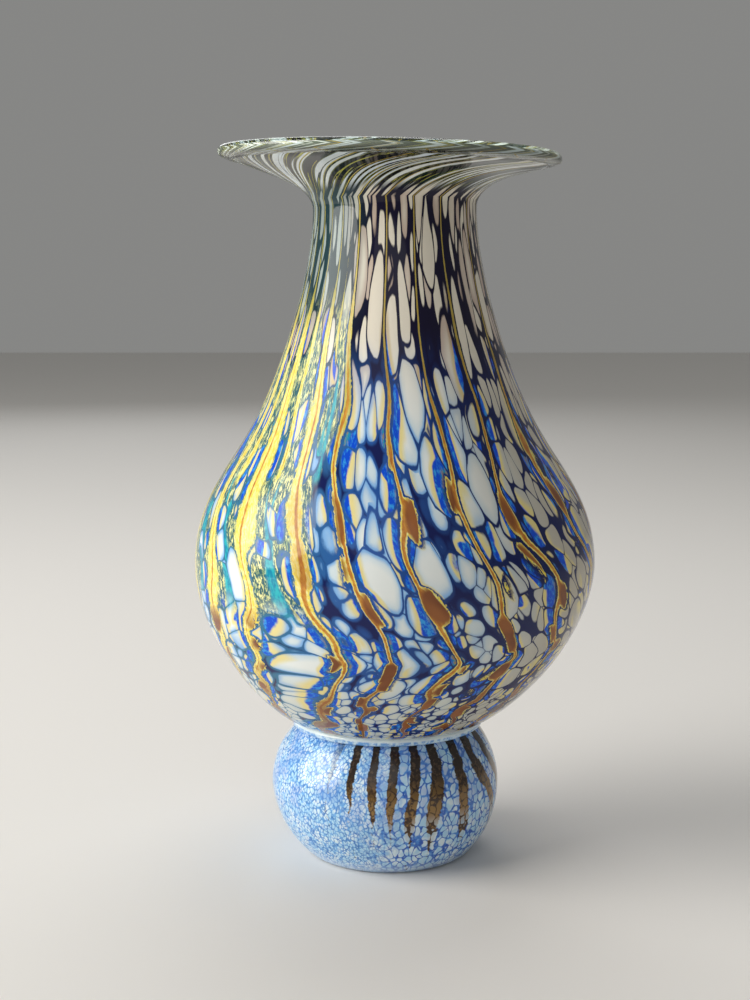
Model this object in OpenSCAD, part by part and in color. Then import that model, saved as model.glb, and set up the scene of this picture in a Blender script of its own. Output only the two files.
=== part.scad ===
// Hand blown footed glass vase: a bellied body with a narrow neck and a wide turned-out lip,
// joined by a clear collar to a bun foot. Murrine cells and amber ribbons lie in the body's
// outer colour layer, and fine frit with short brown trails lies in the foot's.
// Every glass layer is its own solid, and neighbours share one face.

/* [Body] */
// radius of the flat seat that the body stands on
seat_r = 42.5; // [39:0.5:46]
// radius of the belly
belly_r = 85.5; // [78:0.5:90]
// height of the widest ring of the belly
belly_z = 127; // [115:1:140]
// radius of the waist, half way up the shoulder
waist_r = 61; // [54:0.5:66]
// height of the waist
waist_z = 185; // [175:1:195]
// how far the shoulder leans in at the waist, in degrees
waist_lean = 30; // [20:1:40]
// radius of the narrowest ring of the neck
neck_r = 34.3; // [30:0.1:38]
// height of the narrowest ring of the neck
neck_z = 276; // [268:0.5:280]

/* [Curves] */
// how far the bowl runs out from the seat before it turns up
seat_out = 13; // [8:1:18]
// how far the bowl rises on that run
seat_up = 5; // [2:1:10]
// reach of the belly's curve below its widest ring
belly_below = 30; // [20:1:40]
// reach of the belly's curve above its widest ring
belly_above = 26; // [18:1:36]
// reach of the shoulder's curve below the waist
waist_below = 22; // [14:1:30]
// reach of the shoulder's curve above the waist
waist_above = 24; // [14:1:32]
// reach of the neck's curve below its narrowest ring
neck_below = 26; // [16:1:34]
// reach of the neck's curve above its narrowest ring
neck_above = 10; // [6:1:14]
// length of the nearly flat run under the lip
lip_out = 19; // [12:1:26]
// how far the lip rises on that run
lip_up = 5; // [2:1:9]

/* [Lip] */
// outer radius of the lip, over the rounded bead
lip_r = 71.5; // [64:0.5:76]
// radius of the round of the bead
bead_r = 2.3; // [1.8:0.1:3.2]
// how far inside the bead's centre the underside of the lip ends
bead_back = 1.6; // [1:0.1:2.2]
// how far the underside of the lip ends below the bead
bead_under = 0.5; // [0.2:0.1:1]
// overall height of the vase
total_h = 300; // [298:0.5:303]

/* [Glass layers] */
// thickness of the outer colour layer of the body
colour_t = 1.2; // [0.8:0.1:2]
// whole wall at the bottom of the body
wall_bottom = 7; // [5:0.5:9]
// whole wall at the belly
wall_belly = 5; // [4:0.5:7]
// whole wall at the neck and the lip
wall_neck = 4.4; // [3.5:0.1:5.5]
// height from which the wall is as thin as at the neck
thin_z = 200; // [180:5:230]
// radius of the flat floor inside the body
floor_r = 26; // [18:1:32]
// thickness of the glass at the middle of that floor
floor_t = 4; // [3:0.5:8]
// how much thicker the floor is at its edge
floor_rise = 0.4; // [0:0.1:1]
// thickness of the frit layer of the foot
frit_t = 1.6; // [1:0.1:2.4]

/* [Ribbons and trails] */
// amber ribbons round the body
ribbons = 20; // [14:1:24]
// angle that one ribbon covers
ribbon_deg = 5; // [3:0.5:9]
// turn of the first ribbon round the body
ribbon_turn = -83; // [-180:1:180]
// brown trails round the foot
trails = 22; // [14:1:24]
// angle that one trail covers
trail_deg = 7; // [4:0.5:10]
// turn of the first trail round the foot
trail_turn = -91; // [-180:1:180]

/* [Collar] */
// height of the collar between the foot and the body
collar_h = 4; // [3:0.5:6]
// how far inside the seat the middle of the collar's round edge is
collar_in = 2.6; // [2:0.1:4]
// height of the middle of the collar's round edge over the foot
collar_mid = 2.2; // [1.5:0.1:3]
// half width of the collar's round edge
collar_round_r = 2; // [1:0.1:3]
// half height of the collar's round edge
collar_round_h = 1.7; // [1:0.1:2]
// how far the collar's top is inside the seat
collar_step = 0.4; // [0:0.1:1]

/* [Foot] */
// radius of the bun foot
foot_r = 49.3; // [44:0.1:54]
// half height of the upper half of the foot's round
foot_c = 39.8; // [36:0.1:44]
// half height of the lower half of the foot's round, as if it weren't cut flat
foot_low = 44; // [40:0.5:48]
// height of the widest ring of the foot
foot_z = 30.8; // [28:0.1:33]
// height of the top of the foot
foot_top = 56; // [54:0.1:58]
// inner radius of the ground ring that the foot stands on
ring_r = 24; // [18:0.5:27]
// depth of the hollow under the foot
hollow_d = 3.2; // [2.5:0.1:5]
// radius of the polished pontil disc
pontil_r = 11; // [8:0.5:14]
// thickness of the polished pontil disc
pontil_t = 1.2; // [0.8:0.1:2]

/* [Hidden] */
$fn = 96;

body_z = foot_top + collar_h;
bead_c = [lip_r - bead_r, total_h - bead_r];

// a Bezier curve from a to d without its last point, in this many steps
steps = 9;
function curve(a, b, c, d) = [for (k = [0 : steps - 1]) let (t = k / steps, s = 1 - t)
    s * s * s * a + 3 * s * s * t * b + 3 * s * t * t * c + t * t * t * d];

// outside of the body: the bowl, the shoulder, the neck and the lip, each one curve
seat = [seat_r, body_z];
belly = [belly_r, belly_z];
waist = [waist_r, waist_z];
up = [-sin(waist_lean), cos(waist_lean)];
neck = [neck_r, neck_z];
lip = bead_c - [bead_back, bead_r + bead_under];
outer = concat(curve(seat, seat + [seat_out, seat_up], belly - [0, belly_below], belly),
               curve(belly, belly + [0, belly_above], waist - waist_below * up, waist),
               curve(waist, waist + waist_above * up, neck - [0, neck_below], neck),
               curve(neck, neck + [0, neck_above], lip - [lip_out, lip_up], lip), [lip]);
n = len(outer);

function unit(v) = v / norm(v);

// unit vector into the glass at each point of the outline
function inward(i) = let (d = unit(outer[min(i + 1, n - 1)] - outer[max(i - 1, 0)])) [-d[1], d[0]];
function wall(z) = lookup(z, [[body_z, wall_bottom], [belly_z, wall_belly], [thin_z, wall_neck],
                              [total_h, wall_neck]]);
under_colour = [for (i = [1 : n - 1]) outer[i] + inward(i) * colour_t];
inside = [for (i = [1 : n - 1]) outer[i] + inward(i) * wall(outer[i][1])];
function top_of(p) = p[len(p) - 1];
function flip(p) = [for (i = [len(p) - 1 : -1 : 0]) p[i]];
// a layer is cut level at its ends, where it slants, so its end is this much wider than it is thick
colour_slant = 1.1;
frit_slant = 1.2;
// the edge of the flat seat under the body, inside the colour layer
seat_in = [seat_r - colour_t * colour_slant, body_z];

// outside of the foot: the angle on its ball, from the ground ring to the top
foot_a0 = -asin(foot_z / foot_low);
foot_a1 = asin((foot_top - foot_z) / foot_c);
// steps of that outline, and the step down to which the trails run
foot_n = 16;
foot_split = 5;
function ball(a, t) = [(foot_r - t) * cos(a), foot_z + ((a < 0 ? foot_low : foot_c) - t) * sin(a)];
function foot_a(i) = foot_a0 + (foot_a1 - foot_a0) * i / foot_n;
foot_out = [for (i = [0 : foot_n]) ball(foot_a(i), 0)];
// inner face of the frit layer, which ends flat on the ground ring and at the top
foot_in = concat([[foot_out[0][0] - frit_t * frit_slant, 0]],
                 [for (i = [1 : foot_n - 1]) ball(foot_a(i), frit_t)],
                 [[foot_out[foot_n][0] - frit_t * frit_slant, foot_top]]);

// a band of a layer, turned through part of the circle
module sector(p, from, span) {
    rotate([0, 0, from]) rotate_extrude(angle = span) polygon(p);
}

module rim_bead() {
    color([0.86, 0.89, 0.86])
    rotate_extrude()
    polygon(concat([outer[n - 1]],
        [for (a = [-70 : 15 : 110]) bead_c + bead_r * [cos(a), sin(a)]],
        [top_of(inside), top_of(under_colour)]));
}

module clear_wall() {
    color([0.80, 0.86, 0.82])
    rotate_extrude()
    polygon(concat([[0, body_z], seat_in], under_colour, flip(inside),
        [[floor_r, body_z + floor_t + floor_rise], [0, body_z + floor_t]]));
}

// profile of the body's colour layer
colour_band = concat(outer, flip(under_colour), [seat_in]);
pitch = 360 / ribbons;

module cell_panels() {
    color([0.20, 0.30, 0.62])
    for (i = [0 : ribbons - 1])
        sector(colour_band, ribbon_turn + i * pitch + ribbon_deg, pitch - ribbon_deg);
}

module amber_ribbons() {
    color([0.62, 0.38, 0.10])
    for (i = [0 : ribbons - 1])
        sector(colour_band, ribbon_turn + i * pitch, ribbon_deg);
}

module joint_collar() {
    color([0.82, 0.88, 0.93])
    rotate_extrude()
    polygon(concat([[0, foot_top], foot_out[foot_n]],
        [for (a = [-60 : 30 : 60]) [seat_r - collar_in + collar_round_r * cos(a),
                                    foot_top + collar_mid + collar_round_h * sin(a)]],
        [seat - [collar_step, 0], [0, body_z]]));
}

module foot_core() {
    color([0.74, 0.84, 0.92])
    rotate_extrude()
    polygon(concat([[0, hollow_d], [pontil_r, hollow_d], [ring_r, 0]], foot_in, [[0, foot_top]]));
}

// the frit layer of the foot between two steps of its outline
function foot_band(a, b) = concat([for (i = [a : b]) foot_out[i]],
                                  [for (i = [b : -1 : a]) foot_in[i]]);
trail_pitch = 360 / trails;

module foot_frit_base() {
    color([0.70, 0.82, 0.93])
    rotate_extrude() polygon(foot_band(0, foot_split));
}

module foot_frit_panels() {
    color([0.56, 0.70, 0.90])
    for (i = [0 : trails - 1])
        sector(foot_band(foot_split, foot_n),
               trail_turn + i * trail_pitch + trail_deg, trail_pitch - trail_deg);
}

module foot_trails() {
    color([0.22, 0.13, 0.07])
    for (i = [0 : trails - 1])
        sector(foot_band(foot_split, foot_n), trail_turn + i * trail_pitch, trail_deg);
}

module pontil_disc() {
    color([0.84, 0.90, 0.93])
    translate([0, 0, hollow_d - pontil_t]) cylinder(r = pontil_r, h = pontil_t);
}

rim_bead();
clear_wall();
cell_panels();
amber_ribbons();
joint_collar();
foot_core();
foot_frit_base();
foot_frit_panels();
foot_trails();
pontil_disc();
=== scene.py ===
import math
import bpy
import numpy as np
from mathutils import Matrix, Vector


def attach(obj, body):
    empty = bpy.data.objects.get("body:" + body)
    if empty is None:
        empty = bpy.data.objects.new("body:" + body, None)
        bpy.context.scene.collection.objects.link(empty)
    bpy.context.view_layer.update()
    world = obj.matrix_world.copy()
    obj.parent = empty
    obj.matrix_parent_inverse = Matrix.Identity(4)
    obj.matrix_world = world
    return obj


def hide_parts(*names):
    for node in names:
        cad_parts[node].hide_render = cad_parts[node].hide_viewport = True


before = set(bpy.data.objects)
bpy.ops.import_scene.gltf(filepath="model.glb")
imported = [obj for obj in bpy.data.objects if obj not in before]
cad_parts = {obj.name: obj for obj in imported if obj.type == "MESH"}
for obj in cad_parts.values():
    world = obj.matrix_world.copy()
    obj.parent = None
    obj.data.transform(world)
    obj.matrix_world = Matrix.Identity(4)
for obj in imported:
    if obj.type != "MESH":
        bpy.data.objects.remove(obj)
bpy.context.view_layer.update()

# ---------------------------------------------------------------- sizes, in millimetres
LIP_R, TOTAL_H = 71.5, 300.0
# the bead of the lip: its round, and how far inside and below it the lip's underside ends
BEAD_R, BEAD_BACK, BEAD_UNDER = 2.3, 1.6, 0.5
# the foot: its radius, the height of its widest ring, and its top
FOOT_R, FOOT_Z, FOOT_TOP = 49.3, 30.8, 56.0
# half heights of the foot's round above and below that ring
FOOT_HIGH, FOOT_LOW = 39.8, 44.0
COLLAR_H = 4.0
BODY_Z = FOOT_TOP + COLLAR_H
# thickness of the colour layer of the body, and of the frit layer of the foot
COLOUR_T, FRIT_T = 1.2, 1.6
# thickness of the whole wall, which is as thin as at the neck from THIN_Z upwards
WALL_BOTTOM, WALL_BELLY, WALL_NECK = 7, 5, 4.4
THIN_Z = 200
# the flat floor inside the body: its radius, its thickness, and how much higher its edge is
FLOOR_R, FLOOR_T, FLOOR_RISE = 26, 4, 0.4
# the inner radius of the ground ring, and the depth of the hollow inside it
RING_R, HOLLOW_D = 24, 3.2
PONTIL_R, PONTIL_T = 11, 1.2

# main points of the body's outline, as radius and height, and how far its curves reach from them
BEAD_C = np.array([LIP_R - BEAD_R, TOTAL_H - BEAD_R])
SEAT, SEAT_RUN = np.array([42.5, BODY_Z]), [13, 5]
BELLY, BELLY_BELOW, BELLY_ABOVE = np.array([85.5, 127.0]), 30, 26
WAIST, WAIST_BELOW, WAIST_ABOVE = np.array([61.0, 185.0]), 22, 24
WAIST_LEAN = math.radians(30)
NECK, NECK_BELOW, NECK_ABOVE = np.array([34.3, 276.0]), 26, 10
LIP, LIP_RUN = BEAD_C - [BEAD_BACK, BEAD_R + BEAD_UNDER], [19, 5]
LIP_Z = 285  # all that lies above this height is lip
SWEEP_Z, SWEEP_MM = 280, 42.0  # where the pattern's sweep over the lip starts, and its length
AXIS = 0.01  # a profile that closes on the axis stops this short of it


def curve(a, b, c, d, n=60):
    """A Bezier curve without its last point."""
    t = (np.arange(n) / n)[:, None]
    return (1-t)**3 * a + 3*(1-t)**2 * t * b + 3*(1-t) * t*t * c + t**3 * d


def outline():
    """The outside of the body: the bowl, the shoulder, the neck and the lip."""
    up = np.array([-math.sin(WAIST_LEAN), math.cos(WAIST_LEAN)])
    return np.vstack([curve(SEAT, SEAT + SEAT_RUN, BELLY - [0, BELLY_BELOW], BELLY),
                      curve(BELLY, BELLY + [0, BELLY_ABOVE], WAIST - WAIST_BELOW * up, WAIST),
                      curve(WAIST, WAIST + WAIST_ABOVE * up, NECK - [0, NECK_BELOW], NECK),
                      curve(NECK, NECK + [0, NECK_ABOVE], LIP - LIP_RUN, LIP), [LIP]])


def even(p, n):
    """The same line with n points spaced evenly along it."""
    s = np.r_[0, np.cumsum(np.linalg.norm(np.diff(p, axis=0), axis=1))]
    q = np.linspace(0, s[-1], n)
    return np.c_[np.interp(q, s, p[:, 0]), np.interp(q, s, p[:, 1])]


def inward(p):
    """Unit vectors from the outline into the glass."""
    g = np.gradient(p, axis=0)
    g /= np.linalg.norm(g, axis=1)[:, None]
    return np.c_[-g[:, 1], g[:, 0]]


def arc(c, r, a0, a1, n):
    """Part of a circle, between two angles in degrees."""
    a = np.radians(np.linspace(a0, a1, n))
    return np.c_[c[0] + r * np.cos(a), c[1] + r * np.sin(a)]


def smooth(x, lo, hi):
    """0 below lo, 1 above hi, and an even S between."""
    t = np.clip((np.asarray(x, float) - lo) / (hi - lo), 0, 1)
    return t * t * (3 - 2 * t)


# ---------------------------------------------------------------- hand-made irregularity
# how far the axis has wandered sideways at each height
AXIS_Z = [0, 12, 30, 45, 58, 85, 127, 276, 288, 300]
AXIS_X = [-0.4, -1.2, -2.1, -1.9, -1.0, 0.8, 2.0, 1.9, 0.9, -0.6]
# how much higher the lip's edge is at its back, and at its left
LIP_BACK, LIP_LEFT = 1.7, 1.5
TILT_FROM, TILT_TO = 42, 71  # the tilt grows from the one radius to the other
MM = 1 / 1000


def warp(v):
    """Blown by hand: the axis wanders a little, and the lip is higher on one side."""
    x, y, z = v.T
    tilt = (LIP_BACK * y - LIP_LEFT * x) / TILT_TO * smooth(np.hypot(x, y), TILT_FROM, TILT_TO)
    lift = np.where(z > SWEEP_Z, tilt, 0)
    return np.c_[x + np.interp(z, AXIS_Z, AXIS_X), y, z + lift] * MM


def revolve(name, prof, seg, fields=None):
    """A closed profile of (radius, height) turned round the axis in seg steps, and warped."""
    prof = np.asarray(prof, float)
    n = len(prof)
    ph = np.linspace(0, 2 * np.pi, seg, endpoint=False)
    x = prof[:, 0:1] * np.sin(ph)
    y = -prof[:, 0:1] * np.cos(ph)
    z = np.repeat(prof[:, 1:2], seg, 1)
    v = np.c_[x.ravel(), y.ravel(), z.ravel()]
    i = np.arange(n)[:, None]
    j = np.arange(seg)[None, :]
    i2, j2 = (i + 1) % n, (j + 1) % seg
    f = np.stack([i*seg + j, i*seg + j2, i2*seg + j2, i2*seg + j], -1).reshape(-1, 4)
    me = bpy.data.meshes.new(name)
    me.vertices.add(len(v))
    me.vertices.foreach_set("co", warp(v).astype(np.float32).ravel())
    me.loops.add(f.size)
    me.loops.foreach_set("vertex_index", f.astype(np.int32).ravel())
    me.polygons.add(len(f))
    me.polygons.foreach_set("loop_start", np.arange(0, f.size, 4, dtype=np.int32))
    me.polygons.foreach_set("use_smooth", np.ones(len(f), bool))
    me.update(calc_edges=True)
    if fields is not None:
        for key, val in fields(prof, ph).items():
            at = me.attributes.new(key, "FLOAT_VECTOR", "POINT")
            at.data.foreach_set("vector", val.reshape(-1, 3).astype(np.float32).ravel())
    me.validate()
    o = bpy.data.objects.new(name, me)
    bpy.context.scene.collection.objects.link(o)
    return o


# ---------------------------------------------------------------- where the pattern runs
# angles of the ribbons at the belly: those in front listed one by one, the others at even steps
RIBBONS = np.array([-60, -42.5, -24, -10.5, 7.8, 26, 46, 71]
                   + [71 + 229 / 13 * k for k in range(1, 13)])
TRAILS = np.array([-29, -18, -6.5, 4, 16, 27, 42, 54, 70]
                  + [70 + 18.6 * k for k in range(1, 14)])
# the pattern is drawn on a cylinder, in steps of this many millimetres
CELL_MM = 12.0
ROUND = 85 / CELL_MM
# how much the pattern is squeezed along the outline at each height; under 1 it is drawn out
SQUEEZE_Z = [58, 75, 95, 115, 135, 165, 200, 240, 280, 290]
SQUEEZE = [2.2, 1.6, 1.1, 0.78, 0.58, 0.46, 0.38, 0.31, 0.25, 0.09]
# how far the glass has turned, in degrees, at each height
TURN_Z = [58, 75, 90, 100, 108, 118, 128, 140, 150, 165, 188, 225]
TURN = [-4, 0, 6, 10, 7, 3.5, 0, -3, -5, -8, -11, -14]
# what is added to that at the left below the belly, and at the right above it
LEFT_Z, LEFT_TURN = [58, 80, 100, 118, 128], [-9, -11, -14, -3, 0]
RIGHT_Z, RIGHT_TURN = [130, 145, 165, 200], [0, -5, -5, 0]
LIP_TURN = 48  # what a whole sweep over the lip adds, in degrees


def wrap(a):
    """An angle in degrees, brought to between -180 and 180."""
    return (a + 180) % 360 - 180


def drift(z, sweep, phi):
    """How far, in degrees, the glass has turned round the axis since the belly."""
    left = smooth(-phi, 20, 45) * smooth(phi, -170, -110)
    right = smooth(phi, 20, 40) * smooth(-phi, -160, -100)
    return (np.interp(z, TURN_Z, TURN) + left * np.interp(z, LEFT_Z, LEFT_TURN)
            + right * np.interp(z, RIGHT_Z, RIGHT_TURN) + LIP_TURN * sweep)


def phase(own, knots):
    """Cosine and sine of a phase that makes one turn from each knot angle to the next."""
    own = (own - knots[0]) % 360 + knots[0]
    knots = np.r_[knots, knots[0] + 360]
    u = np.interp(own, knots, np.arange(len(knots))) * 2 * np.pi
    return np.cos(u), np.sin(u)


def columns(x, ph):
    """A value for each point of the profile, repeated round the circle."""
    return np.repeat(x[:, None], len(ph), 1)


def body_fields(prof, ph):
    """Coordinates that flow with the glass: pattern space, ribbon phase and region."""
    r, z = prof.T
    s = np.r_[0, np.cumsum(np.linalg.norm(np.diff(prof, axis=0), axis=1))]
    squeeze = np.interp(z, SQUEEZE_Z, SQUEEZE)
    w = np.r_[0, np.cumsum(np.diff(s) * (squeeze[1:] + squeeze[:-1]) / 2)] / CELL_MM
    # the inner face of the layer carries the same pattern as the outer one
    edge = np.argmax(r * (z > LIP_Z))
    s, w = np.minimum(s, 2 * s[edge] - s), np.minimum(w, 2 * w[edge] - w)
    start = s[:edge][np.argmin(np.abs(z[:edge] - SWEEP_Z))]
    lip = np.clip((s - start) / SWEEP_MM, 0, 1.15)
    sweep = 1.1 * lip ** 0.9 + 0.7 * smooth(lip, 0.82, 1.1)
    deg = np.repeat(wrap(np.degrees(ph))[None, :], len(z), 0)
    own = deg - drift(z[:, None], sweep[:, None], deg)
    a = np.radians(own)
    flow = np.stack([ROUND * np.cos(a), ROUND * np.sin(a), columns(w, ph)], -1)
    ribbon = np.stack([*phase(own, RIBBONS), columns(lip, ph)], -1)
    warm = smooth(-deg, 4, 46) * smooth(deg, -178, -130)
    region = np.stack([columns(z / 100, ph), warm, 0.5 + 0.5 * np.sin(np.radians(deg))], -1)
    return {"flow": flow, "ribbon": ribbon, "region": region}


def foot_fields(prof, ph):
    """Coordinates of the foot: place, trail phase with height, and how coarse its frit is."""
    r, z = prof.T
    deg = np.repeat(wrap(np.degrees(ph))[None, :], len(z), 0)
    lean = 15 * smooth(deg, 46, 62) * smooth(-deg, -170, -120)
    lean -= 5 * smooth(deg, -5, 8) * smooth(-deg, -36, -24)
    own = deg - lean * smooth(-z, -52, -20)[:, None]
    a = np.radians(deg)
    place = np.stack([r[:, None] * np.sin(a), -r[:, None] * np.cos(a), columns(z, ph)], -1) / 10
    trail = np.stack([*phase(own, TRAILS), columns(z / FOOT_TOP, ph)], -1)
    side = smooth(deg, -48, 25) * smooth(-deg, -178, -150) + smooth(-deg, 120, 160)
    side = np.repeat(np.clip(side, 0, 1)[:, :, None], 3, 2)
    return {"place": place, "trail": trail, "side": side}


# ---------------------------------------------------------------- shader helpers
class Net:
    """Short names for building a material's node network."""

    def __init__(self, name):
        self.mat = bpy.data.materials.new(name)
        self.mat.use_nodes = True
        self.tree = self.mat.node_tree
        self.tree.nodes.clear()

    def put(self, socket, value):
        """Link a socket, or set its value."""
        if isinstance(value, bpy.types.NodeSocket):
            self.tree.links.new(value, socket)
            return
        if socket.type == "RGBA" and len(value) == 3:
            value = (*value, 1)
        socket.default_value = value

    def new(self, kind, *values, **settings):
        """A node of this kind with its first inputs and its settings filled in."""
        node = self.tree.nodes.new("ShaderNode" + kind)
        for key, value in settings.items():
            setattr(node, key, value)
        for socket, value in zip(node.inputs, values):
            self.put(socket, value)
        return node

    def math(self, op, *values):
        return self.new("Math", *values, operation=op).outputs[0]

    def add(self, a, b):
        return self.math("ADD", a, b)

    def sub(self, a, b):
        return self.math("SUBTRACT", a, b)

    def mul(self, a, b):
        return self.math("MULTIPLY", a, b)

    def div(self, a, b):
        return self.math("DIVIDE", a, b)

    def least(self, a, b):
        return self.math("MINIMUM", a, b)

    def most(self, a, b):
        return self.math("MAXIMUM", a, b)

    def vec(self, op, a, b):
        node = self.new("VectorMath", a, operation=op)
        self.put(node.inputs["Scale" if op == "SCALE" else 1], b)
        return node.outputs[0]

    def step(self, x, lo, hi):
        """0 at lo, 1 at hi, and an even S between; lo may be the higher one."""
        return self.new("MapRange", x, lo, hi, interpolation_type="SMOOTHSTEP").outputs[0]

    def xyz(self, v):
        return tuple(self.new("SeparateXYZ", v).outputs)

    def attr(self, name):
        """A vector that the mesh carries at its points."""
        return self.new("Attribute", attribute_name=name).outputs["Vector"]

    def noise(self, v, scale, detail=2.0, rough=0.5, out="Fac"):
        node = self.new("TexNoise", v)
        self.put(node.inputs["Scale"], scale)
        self.put(node.inputs["Detail"], detail)
        self.put(node.inputs["Roughness"], rough)
        return node.outputs[out]

    def cells(self, v, scale, feature, rand):
        node = self.new("TexVoronoi", v, feature=feature)
        self.put(node.inputs["Scale"], scale)
        self.put(node.inputs["Randomness"], rand)
        return node.outputs

    def mix(self, f, a, b):
        """Colour a where f is 0, and b where it is 1."""
        node = self.new("Mix", f, data_type="RGBA")
        self.put(node.inputs[6], a)
        self.put(node.inputs[7], b)
        return node.outputs[2]

    def lerp(self, f, a, b):
        """Number a where f is 0, and b where it is 1."""
        node = self.new("Mix", f)
        self.put(node.inputs[2], a)
        self.put(node.inputs[3], b)
        return node.outputs[0]

    def lerp_v(self, f, a, b):
        """Vector a where f is 0, and b where it is 1."""
        node = self.new("Mix", f, data_type="VECTOR")
        self.put(node.inputs[4], a)
        self.put(node.inputs[5], b)
        return node.outputs[1]

    def ripple(self, height, distance):
        """The soft unevenness of a blown and fire-polished surface."""
        node = self.new("Bump")
        self.put(node.inputs["Strength"], 0.35)
        self.put(node.inputs["Distance"], distance)
        self.put(node.inputs["Height"], height)
        return node.outputs[0]

    def surface(self, **sockets):
        """A Principled surface; an underscore in a socket's name stands for a space."""
        node = self.new("BsdfPrincipled")
        for key, value in sockets.items():
            self.put(node.inputs[key.replace("_", " ")], value)
        return node.outputs[0]

    def end(self, shader):
        self.new("OutputMaterial", shader)
        return self.mat


def clear_glass(name, tint):
    """Clear glass that lets the lamps shine through to what lies behind it."""
    g = Net(name)
    body = g.surface(Base_Color=tint, Roughness=0.02, IOR=1.5, Transmission_Weight=1.0)
    shadow = g.new("LightPath").outputs["Is Shadow Ray"]
    bright = g.new("BsdfTransparent", tint).outputs[0]
    return g.end(g.new("MixShader", shadow, body, bright).outputs[0])


# ---------------------------------------------------------------- the body's colour layer
NAVY, INK, PURPLE = (0.006, 0.012, 0.090), (0.006, 0.004, 0.024), (0.022, 0.010, 0.075)
COBALT, MIDNIGHT, STEEL = (0.022, 0.095, 0.36), (0.008, 0.016, 0.090), (0.04, 0.18, 0.30)
VIVID, SKY, HALO = (0.004, 0.075, 0.66), (0.04, 0.34, 0.78), (0.12, 0.38, 0.80)
MILK, ICE = (0.83, 0.87, 0.85), (0.58, 0.72, 0.80)
CREAM, STRAW, SAND = (0.80, 0.74, 0.62), (0.85, 0.72, 0.27), (0.62, 0.50, 0.32)
YELLOW, PALE = (0.86, 0.70, 0.10), (0.90, 0.86, 0.38)
RUST, AMBER = (0.48, 0.17, 0.03), (0.70, 0.33, 0.05)
BROWN, CHESTNUT = (0.21, 0.07, 0.025), (0.32, 0.115, 0.035)
OLIVE, MOSS = (0.42, 0.42, 0.08), (0.24, 0.24, 0.05)


def pebbles(g, flow, neck):
    """Big rounded cells with small ones between: how far inside one a point is, and its luck."""
    jog = g.vec("SCALE", g.vec("SUBTRACT", g.noise(flow, 0.9, 1, 0.5, "Color"), (0.5, 0.5, 0.5)), 0.35)
    jumbled = g.vec("ADD", flow, jog)

    pack = g.step(g.noise(g.vec("ADD", flow, (9.0, 2.0, 5.0)), 0.42, 1), 0.36, 0.56)
    gap = g.add(g.lerp(pack, 0.030, 0.012), g.mul(neck, 0.045))

    def layer(scale, radius, shift):
        """Rounded cells: how far inside one a point is, and the cell's own colour."""
        at = g.vec("ADD", jumbled, (0, 0, shift))
        one, two = g.cells(at, scale, "F1", 0.88), g.cells(at, scale, "F2", 0.88)
        edge = g.sub(g.mul(g.sub(two["Distance"], one["Distance"]), 0.5), gap)
        disc = g.sub(radius, one["Distance"])
        return g.div(g.math("SMOOTH_MIN", edge, disc, 0.32), scale), one

    lift = 2.7
    big, one = layer(0.96, g.lerp(neck, 0.69, 0.62), lift)
    tiny, two = layer(1.75, g.lerp(neck, 0.68, 0.60), 0.4)

    # which of the big ones are left out is settled for each as a whole, by where its middle is
    site = one["Position"]
    _, across, up = g.xyz(g.vec("SUBTRACT", site, (0, 0, lift)))
    few = g.noise(site, 0.50, 0)
    few = g.add(few, g.mul(g.step(up, 8.0, 5.5), 0.03))
    few = g.add(few, g.mul(g.step(up, 13.6, 14.4), 0.05))
    left = g.mul(g.step(across, -1.5, -3.5), g.step(up, 8.8, 10.0))
    few = g.add(few, g.mul(left, 0.15))
    right = g.mul(g.step(across, 3.2, 5.5), g.step(up, 10.5, 12.0))
    few = g.add(few, g.mul(right, 0.07))
    big = g.sub(big, g.math("GREATER_THAN", few, 0.53))
    tiny = g.math("SMOOTH_MIN", tiny, g.sub(-0.045, big), 0.06)
    is_big = g.math("GREATER_THAN", big, tiny)
    luck = g.lerp_v(is_big, two["Color"], one["Color"])
    return g.most(big, tiny), luck


def strands(g, flow, low):
    """Long strands of white, dark green and olive."""
    strand = g.noise(g.vec("MULTIPLY", flow, (1, 1, 0.5)), 2.9, 1)
    dusk = g.mix(g.step(g.noise(flow, 1.1, 0), 0.40, 0.60), (0.005, 0.008, 0.010), (0.012, 0.034, 0.024))
    silk = g.mix(g.step(low, 0.40, 0.60), (0.80, 0.84, 0.82), (0.66, 0.74, 0.80))
    stripe = g.mix(g.step(strand, 0.545, 0.560), dusk, silk)
    thread = g.mul(g.step(strand, 0.484, 0.492), g.step(strand, 0.518, 0.510))
    return g.mix(thread, stripe, OLIVE)


def speckled(g, grain, fine, mid, off):
    """Dark glass with pale green flecks, and teal half way between the ribbons."""
    fleck = g.step(g.add(grain, g.mul(fine, 0.4)), 0.66, 0.78)
    speck = g.mix(fleck, (0.03, 0.12, 0.15), g.mix(g.step(fine, 0.42, 0.6), (0.34, 0.46, 0.22), PALE))
    teal = g.mix(g.step(fine, 0.38, 0.62), (0.012, 0.24, 0.40), (0.03, 0.46, 0.52))
    return g.mix(g.step(g.add(off, g.mul(mid, 0.6)), 0.95, 1.12), speck, teal)


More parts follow.
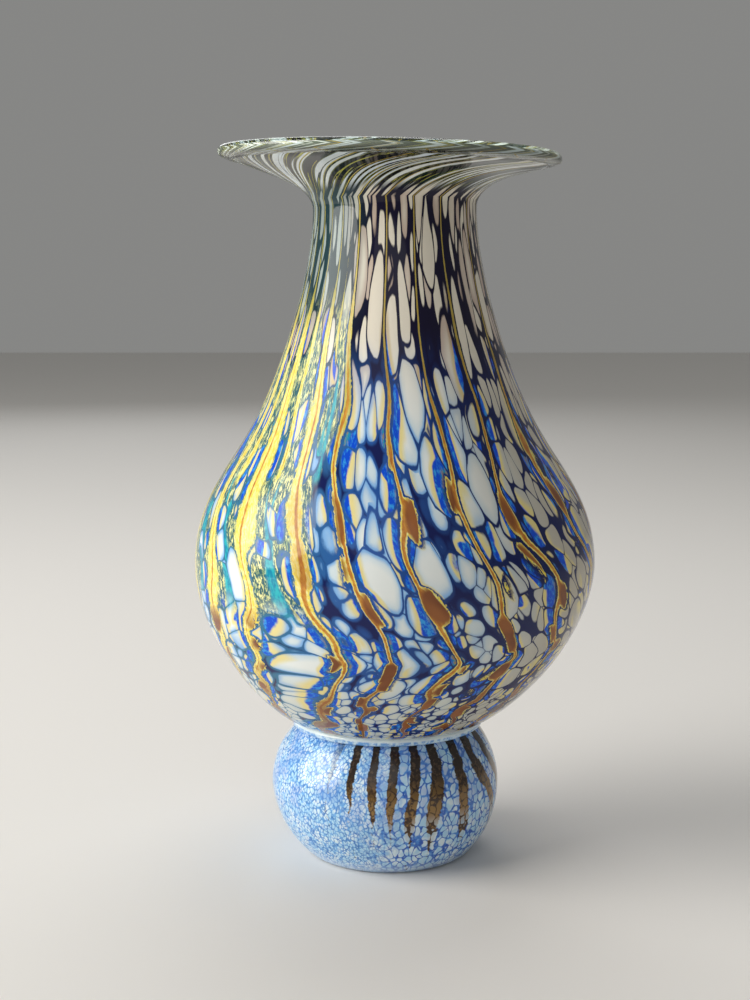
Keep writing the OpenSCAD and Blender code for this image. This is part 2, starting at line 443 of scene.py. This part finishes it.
def body_material():
    """Cells and ribbons in coordinates that flow with the glass; height is in units of 100 mm."""
    g = Net("murrine_glass")
    flow = g.attr("flow")
    cos_u, sin_u, lip = g.xyz(g.attr("ribbon"))
    height, warm, front = g.xyz(g.attr("region"))
    low = g.noise(flow, 0.30, 1)
    mid = g.noise(flow, 0.9, 2)
    fine = g.noise(flow, 7.0, 3, 0.65)
    grain = g.noise(g.vec("MULTIPLY", flow, (1, 1, 0.6)), 17.0, 2, 0.7)
    neck = g.step(height, 1.85, 2.3)
    bottom = g.step(height, 0.98, 0.76)
    cool = g.sub(1.0, warm)

    # distance from the nearest ribbon, 0 on it and 1 half way to the next
    turns = g.div(g.math("ARCTAN2", sin_u, cos_u), 2 * math.pi)
    sway = g.noise(g.vec("ADD", flow, (5, 1, 7)), 0.75, 0)
    wander = g.mul(g.sub(sway, 0.5), g.lerp(neck, 0.55, 0.16))
    off = g.mul(g.math("PINGPONG", g.add(turns, wander), 0.5), 2.0)
    # on the warm side's shoulder there is a thinner ribbon between each two
    between = g.mul(g.step(warm, 0.35, 0.75), g.step(height, 1.30, 1.75))
    second = g.mul(g.sub(g.sub(2.0, off), between), 1.7)
    off = g.least(off, second)
    off = g.add(off, g.mul(g.sub(fine, 0.5), 0.05))

    # brown blobs swell the ribbons round the belly and the bottom
    lump = g.cells(g.vec("ADD", flow, (3.1, 7.7, 0.4)), 0.85, "F1", 0.9)
    fat = g.mul(g.step(lump["Distance"], 0.48, 0.33), g.step(height, 1.95, 1.6))
    fat = g.mul(fat, g.most(cool, g.step(height, 1.22, 1.08)))
    cool_w = g.add(g.lerp(g.step(height, 1.5, 2.0), 0.085, 0.050), g.mul(fat, 0.27))
    warm_w = g.lerp(g.step(height, 0.98, 1.25), 0.12, g.add(0.13, g.mul(low, 0.22)))
    warm_w = g.add(warm_w, g.mul(fat, 0.24))
    width = g.lerp(g.mul(warm, g.step(height, 2.50, 2.25)), cool_w, warm_w)
    beyond = g.sub(off, width)

    # pebbles, which stop short of the ribbons
    depth, luck = pebbles(g, flow, neck)
    depth = g.math("SMOOTH_MIN", depth, g.sub(g.mul(beyond, 0.9), 0.06), 0.10)
    depth = g.add(depth, g.mul(g.sub(fine, 0.5), 0.02))
    depth = g.sub(depth, g.mul(g.step(lip, 0.0, 0.2), 0.05))
    luck, luck_1, luck_2 = g.xyz(luck)

    # between the pebbles: a fine dark outline, then the ground
    ground = g.mix(neck, g.mix(bottom, NAVY, PURPLE), INK)
    # painted shade: the outlines darken from cobalt to midnight blue towards the right
    slate = g.mix(g.step(front, 0.35, 0.80), COBALT, MIDNIGHT)
    slate = g.mix(warm, slate, STEEL)
    line = g.mix(neck, slate, ground)
    dark = g.mix(g.step(depth, -0.09, -0.02), ground, line)

    # painted shade: the neck's left is darkened to a dark green
    shade = g.mul(g.step(height, 2.15, 2.45), g.step(front, 0.40, 0.18))
    dark = g.mix(shade, dark, (0.012, 0.040, 0.050))

    # inside a pebble: blue beside the ribbon, then yellow, then cool white
    near = g.add(g.mul(beyond, 1.1), g.mul(g.sub(mid, 0.5), 0.35))
    near = g.add(near, g.lerp(luck, -0.10, 0.14))
    near = g.add(near, g.mul(g.step(luck_1, 0.34, 0.30), 0.30))
    near = g.add(near, g.add(g.mul(neck, 0.25), g.mul(bottom, 0.12)))
    near = g.add(near, g.mul(g.step(height, 2.25, 2.6), 0.6))
    blue = g.mix(g.step(fine, 0.46, 0.66), VIVID, SKY)
    murk = g.mix(g.step(fine, 0.45, 0.55), (0.02, 0.30, 0.42), (0.30, 0.22, 0.12))
    blue = g.mix(g.step(near, 0.20, 0.02), blue, murk)
    cool_white = g.mix(g.step(depth, 0.0, 0.22), ICE, MILK)
    halo = g.mul(g.step(depth, g.lerp(luck_2, 0.045, 0.12), 0.0), g.step(front, 0.85, 0.55))
    cool_white = g.mix(g.mul(halo, 0.8), cool_white, HALO)
    cool_white = g.mix(g.mul(bottom, 0.7), cool_white, (0.66, 0.67, 0.58))
    # painted shade: towards the right the whites darken to a dull beige
    cool_white = g.mix(g.step(front, 0.60, 0.92), cool_white, (0.55, 0.51, 0.42))
    opal = g.mix(neck, cool_white, g.mix(g.step(lip, 0.05, 0.3), CREAM, (0.78, 0.82, 0.80)))
    straw = g.mix(neck, STRAW, SAND)
    opal = g.mix(g.mul(g.step(near, 0.72, 0.50), 0.9), opal, straw)
    blush = g.mul(g.mul(neck, g.step(luck_2, 0.55, 0.65)), g.step(lip, 0.1, 0.0))
    blush = g.mul(blush, g.step(depth, 0.25, 0.0))
    opal = g.mix(g.mul(blush, 0.55), opal, (0.36, 0.20, 0.16))
    # in that painted shade the pebbles turn a dull grey teal
    opal = g.mix(g.mul(shade, 0.75), opal, (0.16, 0.26, 0.28))
    inside = g.mix(g.step(near, 0.40, 0.46), blue, opal)
    col = g.mix(g.step(depth, -0.010, 0.012), dark, inside)

    # the warm side is speckled, with few pebbles
    bare = g.most(g.step(luck_2, 0.50, 0.46), g.step(depth, -0.045, -0.06))
    bare = g.mul(g.mul(bare, g.step(height, 1.12, 1.26)), g.step(height, 2.45, 2.2))
    patch = g.add(warm, g.mul(g.sub(mid, 0.5), 0.9))
    col = g.mix(g.mul(g.step(patch, 0.40, 0.55), bare), col, speckled(g, grain, fine, mid, off))

    # the ribbon: rust core, yellow grain, pale edge; brown where it swells
    across_ribbon = g.div(off, width)
    yellow = g.mix(g.step(g.add(grain, g.mul(fine, 0.6)), 0.70, 0.94), YELLOW, PALE)
    # the ribbons' yellow turns moss green up the cool side, and in the painted shade of the neck's left
    olive = g.most(g.mul(g.step(height, 1.6, 2.1), g.mul(cool, 0.8)), g.mul(shade, 0.85))
    yellow = g.mix(olive, yellow, MOSS)
    core = g.mul(g.step(across_ribbon, g.lerp(warm, 0.72, 0.20), g.lerp(warm, 0.42, 0.02)),
                 g.lerp(neck, 1.0, 0.45))
    rust = g.mix(g.step(fine, 0.35, 0.65), RUST, AMBER)
    red = g.mix(g.step(mid, 0.38, 0.62), BROWN, CHESTNUT)
    brown_in = g.most(fat, g.mul(bottom, g.most(cool, 0.85)))
    heart = g.mix(brown_in, rust, red)
    swollen = g.mul(brown_in, g.step(across_ribbon, 0.93, 0.84))
    ribbon = g.mix(g.most(core, swollen), yellow, heart)
    rough = g.lerp(warm, 0.85, 1.9)
    soft = g.add(across_ribbon, g.mul(g.sub(grain, 0.5), rough))
    rim_line = g.mul(g.step(soft, 1.55, 1.25), g.lerp(neck, 0.8, 0.3))
    col = g.mix(g.mul(rim_line, cool), col, line)
    col = g.mix(g.step(soft, 1.06, 0.94), col, ribbon)

    # pulled out over the lip, the pebbles become long strands, which the clear edge dilutes
    clear = g.step(lip, 0.88, 1.06)
    stripe = g.mix(g.mul(clear, 0.40), strands(g, flow, low), (0.50, 0.55, 0.44))
    col = g.mix(g.mul(g.step(lip, 0.04, 0.22), g.step(soft, 0.9, 1.1)), col, stripe)

    # the lip is thin: its darks turn green and grey and let light through
    thin = g.most(g.mul(g.step(lip, 0.18, 0.75), 0.6), clear)
    through = g.mul(thin, g.lerp(g.step(front, 0.14, 0.03), 0.03, 0.40))
    polish = g.lerp(g.step(mid, 0.35, 0.65), 0.05, 0.12)
    return g.end(g.surface(Base_Color=col, Roughness=polish, IOR=1.5, Specular_IOR_Level=0.28,
                           Transmission_Weight=through, Normal=g.ripple(sway, 0.0012)))


def foot_material():
    """Frit, fine at one side and coarse at the other, with trails; place is in centimetres."""
    g = Net("frit_glass")
    place = g.attr("place")
    cos_u, sin_u, height = g.xyz(g.attr("trail"))
    side = g.xyz(g.attr("side"))[0]
    fine = g.noise(place, 6.0, 3, 0.6)
    swirl = g.vec("SCALE", g.vec("SUBTRACT", g.noise(place, 3.0, 1, 0.5, "Color"), (0.5, 0.5, 0.5)), 0.22)
    flat = g.vec("MULTIPLY", g.vec("ADD", place, swirl), (1, 1, 0.72))
    low = g.mul(g.sub(g.noise(place, 0.9, 1), 0.5), 0.6)
    coarse = g.step(g.add(side, low), 0.30, 0.95)

    def grains(scale):
        """1 at the edges of the grains, and less inside."""
        one, two = g.cells(flat, scale, "F1", 0.95), g.cells(flat, scale, "F2", 0.95)
        return g.div(one["Distance"], two["Distance"])

    cell = g.lerp(coarse, g.step(grains(7.0), 0.90, 0.62), g.step(grains(3.3), 0.90, 0.74))
    blue = g.mix(g.step(fine, 0.42, 0.62), (0.020, 0.10, 0.50), (0.07, 0.27, 0.72))
    blue = g.mix(coarse, g.mix(g.step(fine, 0.42, 0.62), (0.06, 0.22, 0.58), (0.16, 0.42, 0.80)), blue)
    pale = g.mix(g.step(g.noise(place, 2.2, 2), 0.4, 0.6), (0.44, 0.70, 0.90), (0.72, 0.85, 0.92))
    col = g.mix(cell, blue, pale)
    shade = g.mul(g.step(g.noise(place, 1.1, 1), 0.40, 0.62), 0.45)
    col = g.mix(g.mul(shade, g.step(height, 0.25, 0.6)), col, (0.12, 0.28, 0.70))
    col = g.mix(g.mul(g.step(height, 0.14, 0.0), 0.6), col, (0.62, 0.74, 0.90))

    # trails run down from the collar and break up
    turns = g.div(g.math("ARCTAN2", sin_u, cos_u), 2 * math.pi)
    wander = g.mul(g.sub(g.noise(place, 1.4, 1), 0.5), 0.30)
    off = g.mul(g.math("PINGPONG", g.add(turns, wander), 0.5), 2.0)
    off = g.add(off, g.mul(g.sub(fine, 0.5), 0.45))
    reach = g.lerp(side, 0.88, 0.30)
    taper = g.step(height, g.sub(reach, 0.16), g.add(reach, 0.16))
    wide = g.mul(taper, g.lerp(side, 0.30, 0.50))
    on = g.step(g.sub(wide, off), -0.04, 0.05)
    holes = g.mul(g.step(height, 0.55, 0.35), g.step(cell, 0.4, 0.9))
    on = g.mul(on, g.sub(1.0, g.mul(holes, 0.8)))
    on = g.mul(on, g.step(side, 0.0, 0.35))
    amber = g.mix(cell, (0.045, 0.022, 0.010), (0.30, 0.17, 0.045))
    ink = g.mix(g.step(height, 0.85, 0.50), (0.025, 0.016, 0.012), amber)
    fleck = g.mix(g.step(height, 0.85, 0.50), (0.08, 0.05, 0.03), (0.32, 0.17, 0.04))
    ink = g.mix(g.step(fine, 0.52, 0.66), ink, fleck)
    col = g.mix(on, col, ink)
    wave = g.noise(place, 1.1, 1)
    polish = g.lerp(g.step(wave, 0.35, 0.65), 0.07, 0.15)
    return g.end(g.surface(Base_Color=col, Roughness=polish, IOR=1.5, Normal=g.ripple(wave, 0.0010)))


def collar_material():
    """Cloudy pale blue glass with a brighter line round its top."""
    g = Net("collar_glass")
    place = g.attr("place")
    height = g.xyz(place)[2]
    cloud = g.step(g.noise(place, 5.0, 3, 0.6), 0.42, 0.60)
    col = g.mix(cloud, (0.16, 0.38, 0.78), (0.62, 0.80, 0.93))
    top_line = g.step(height, 0.1 * FOOT_TOP + 0.18, 0.1 * FOOT_TOP + 0.26)
    col = g.mix(top_line, col, (0.80, 0.92, 0.97))
    return g.end(g.surface(Base_Color=col, Roughness=0.08, IOR=1.5))


def opal_material():
    """Milky glass, ground to a satin finish on the ring that it stands on."""
    g = Net("opal_glass")
    place = g.attr("place")
    haze = g.noise(place, 1.6, 3, 0.6)
    milk = g.mix(g.step(haze, 0.38, 0.62), (0.56, 0.72, 0.88), (0.76, 0.86, 0.93))
    ground = g.step(g.xyz(place)[2], 0.05, 0.01)
    satin = g.lerp(ground, 0.09, g.add(0.35, g.mul(haze, 0.3)))
    return g.end(g.surface(Base_Color=milk, Roughness=satin, IOR=1.5))


# ---------------------------------------------------------------- pieces
def piece(o, mat, slot, *nodes):
    """Finish a piece: its material, its body and the nodes it replaces; its slot is not used."""
    o.data.materials.append(mat)
    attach(o, "root")
    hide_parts(*nodes)


LINE = even(outline(), 168)
INTO = inward(LINE)
WALL = np.interp(LINE[:, 1], [BODY_Z, BELLY[1], THIN_Z, TOTAL_H],
                 [WALL_BOTTOM, WALL_BELLY, WALL_NECK, WALL_NECK])
INSIDE = LINE + INTO * WALL[:, None]
LOW_DEG = -math.degrees(math.asin(FOOT_Z / FOOT_LOW))
TOP_DEG = math.degrees(math.asin((FOOT_TOP - FOOT_Z) / FOOT_HIGH))


def body_skin():
    """The colour layer: up the outside, a little sunk under the bead, and down its inner face."""
    sunk = 0.5 * smooth(LINE[:, 0] * (LINE[:, 1] > LIP_Z), 62, 67)
    outer = np.vstack([LINE + INTO * sunk[:, None], arc(BEAD_C, BEAD_R - 0.5, -55, 25, 7)])
    inner = np.vstack([arc(BEAD_C, BEAD_R - 1.1, 25, -40, 4), (LINE + INTO * COLOUR_T)[::-3]])
    prof = np.vstack([outer, inner, [[SEAT[0] - 0.7, BODY_Z + 0.05]]])
    o = revolve("body_skin", prof, 360, fields=body_fields)
    piece(o, body_material(), "cell_panels", "cell_panels", "amber_ribbons")


def inner_bubble(glass):
    """The clear wall, which starts inside the colour layer and closes over the collar."""
    seat_z, floor_z = BODY_Z + 0.3, BODY_Z + FLOOR_T
    outer = (LINE + INTO * 0.8)[3::2]
    inner = INSIDE[INSIDE[:, 1] > BODY_Z + 6][::-2]
    prof = np.vstack([[[AXIS, seat_z], [SEAT[0] - 1.5, seat_z]], outer, inner,
                      [[FLOOR_R, floor_z + FLOOR_RISE], [12, floor_z], [AXIS, floor_z]]])
    piece(revolve("inner_bubble", prof, 144), glass, "clear_wall", "clear_wall")


def rim_bead(glass):
    """The round clear edge of the lip."""
    prof = np.vstack([LINE[-2:] + INTO[-2:] * 0.02, arc(BEAD_C, BEAD_R, -70, 110, 20), INSIDE[-1:]])
    piece(revolve("rim_bead_glass", prof, 240), glass, "rim_bead", "rim_bead")


def ball(t, a0, a1, n):
    """The outside of the foot between two angles in degrees, moved t inwards."""
    a = np.radians(np.linspace(a0, a1, n))
    half = np.where(a < 0, FOOT_LOW, FOOT_HIGH)
    return np.c_[(FOOT_R - t) * np.cos(a), FOOT_Z + (half - t) * np.sin(a)]


def collar():
    """The round-edged band between the foot and the body."""
    foot_edge = FOOT_R * math.cos(math.radians(TOP_DEG))
    bulge = arc((0, 0), 1, -65, 65, 11) * [1.4, 1.8] + [SEAT[0] - 2.3, FOOT_TOP + 2.1]
    prof = np.vstack([[[AXIS, FOOT_TOP], [foot_edge, FOOT_TOP]], bulge,
                      [[SEAT[0] - 0.5, BODY_Z + 0.1], [AXIS, BODY_Z + 0.1]]])
    o = revolve("collar_band", prof, 180, fields=foot_fields)
    piece(o, collar_material(), "joint_collar", "joint_collar")


def foot_skin():
    """The frit layer of the foot, with its rounded edge on the table."""
    edge = [[32.8, 0], [34.2, 0], [34.9, 0.12]]
    outer = ball(0, LOW_DEG + 2.5, TOP_DEG, 90)
    inner = ball(FRIT_T, TOP_DEG, LOW_DEG + 2, 30)
    o = revolve("foot_skin", np.vstack([edge, outer, inner]), 300, fields=foot_fields)
    piece(o, foot_material(), "foot_frit_panels", "foot_frit_base", "foot_frit_panels", "foot_trails")


def foot_gather():
    """The solid core of the foot, with the ground ring and the hollow inside it."""
    under = [[AXIS, HOLLOW_D], [PONTIL_R, HOLLOW_D], [17, 2.0], [22.5, 0.5], [RING_R, 0], [33, 0]]
    prof = np.vstack([under, ball(1.5, LOW_DEG + 3, TOP_DEG, 30), [[AXIS, FOOT_TOP]]])
    o = revolve("foot_gather", prof, 120, fields=foot_fields)
    piece(o, opal_material(), "foot_core", "foot_core")


def pontil_seal(glass):
    """The polished disc in the hollow, with its edge taken off."""
    face, back = HOLLOW_D - PONTIL_T, HOLLOW_D + 0.05
    prof = [[AXIS, face], [PONTIL_R - 0.7, face], [PONTIL_R, face + 0.4], [PONTIL_R, back], [AXIS, back]]
    piece(revolve("pontil_seal", prof, 96), glass, "pontil_disc", "pontil_disc")


body_skin()
clear = clear_glass("clear_bubble", (0.93, 0.97, 0.94))
inner_bubble(clear)
rim_bead(clear)
collar()
foot_skin()
foot_gather()
pontil_seal(clear)


# ---------------------------------------------------------------- floor, light and camera, in metres
def lamp(name, at, to, size, power, tint=(1, 1, 1)):
    """A round soft lamp at one place, turned towards another."""
    d = bpy.data.lights.new(name, "AREA")
    d.shape, d.size, d.energy, d.color = "DISK", size, power, tint
    o = bpy.data.objects.new(name, d)
    bpy.context.scene.collection.objects.link(o)
    o.location = at
    o.rotation_mode = "QUATERNION"
    o.rotation_quaternion = (Vector(at) - Vector(to)).to_track_quat("Z", "Y")


bpy.ops.mesh.primitive_plane_add(size=8, location=(0, 2.5, 0))
floor = bpy.context.object
floor.name = "floor"
g = Net("floor_paint")
floor.data.materials.append(g.end(g.surface(Base_Color=(0.78, 0.76, 0.73), Roughness=0.7)))

lamp("key", (-2.0, -0.5, 1.1), (0, 0, 0.14), 2.0, 60, (1, 0.97, 0.92))
lamp("fill", (-0.3, -1.9, 1.3), (0, 0, 0.15), 1.6, 4, (0.95, 0.97, 1))
lamp("top", (0.1, 0.5, 1.3), (0, 0, 0.2), 0.8, 4)
lamp("back", (-0.5, 2.2, 1.4), (0, 0, 0.15), 1.4, 7, (0.96, 0.98, 1))
scene = bpy.context.scene
scene.view_settings.view_transform = "Standard"
scene.world = bpy.data.worlds.new("studio")
scene.world.use_nodes = True
studio = scene.world.node_tree.nodes["Background"].inputs
studio["Color"].default_value = (0.80, 0.80, 0.78, 1)
studio["Strength"].default_value = 0.30

# the lens in millimetres, where the camera is, and how many degrees it looks down
LENS, EYE, LOOK_DOWN = 54, (-0.0064, -0.6384, 0.2376), 7.52
cam = bpy.data.cameras.new("camera")
cam.lens, cam.sensor_width = LENS, 36
eye = bpy.data.objects.new("camera", cam)
scene.collection.objects.link(eye)
eye.location = EYE
eye.rotation_euler = (math.radians(90 - LOOK_DOWN), 0, 0)
scene.camera = eye
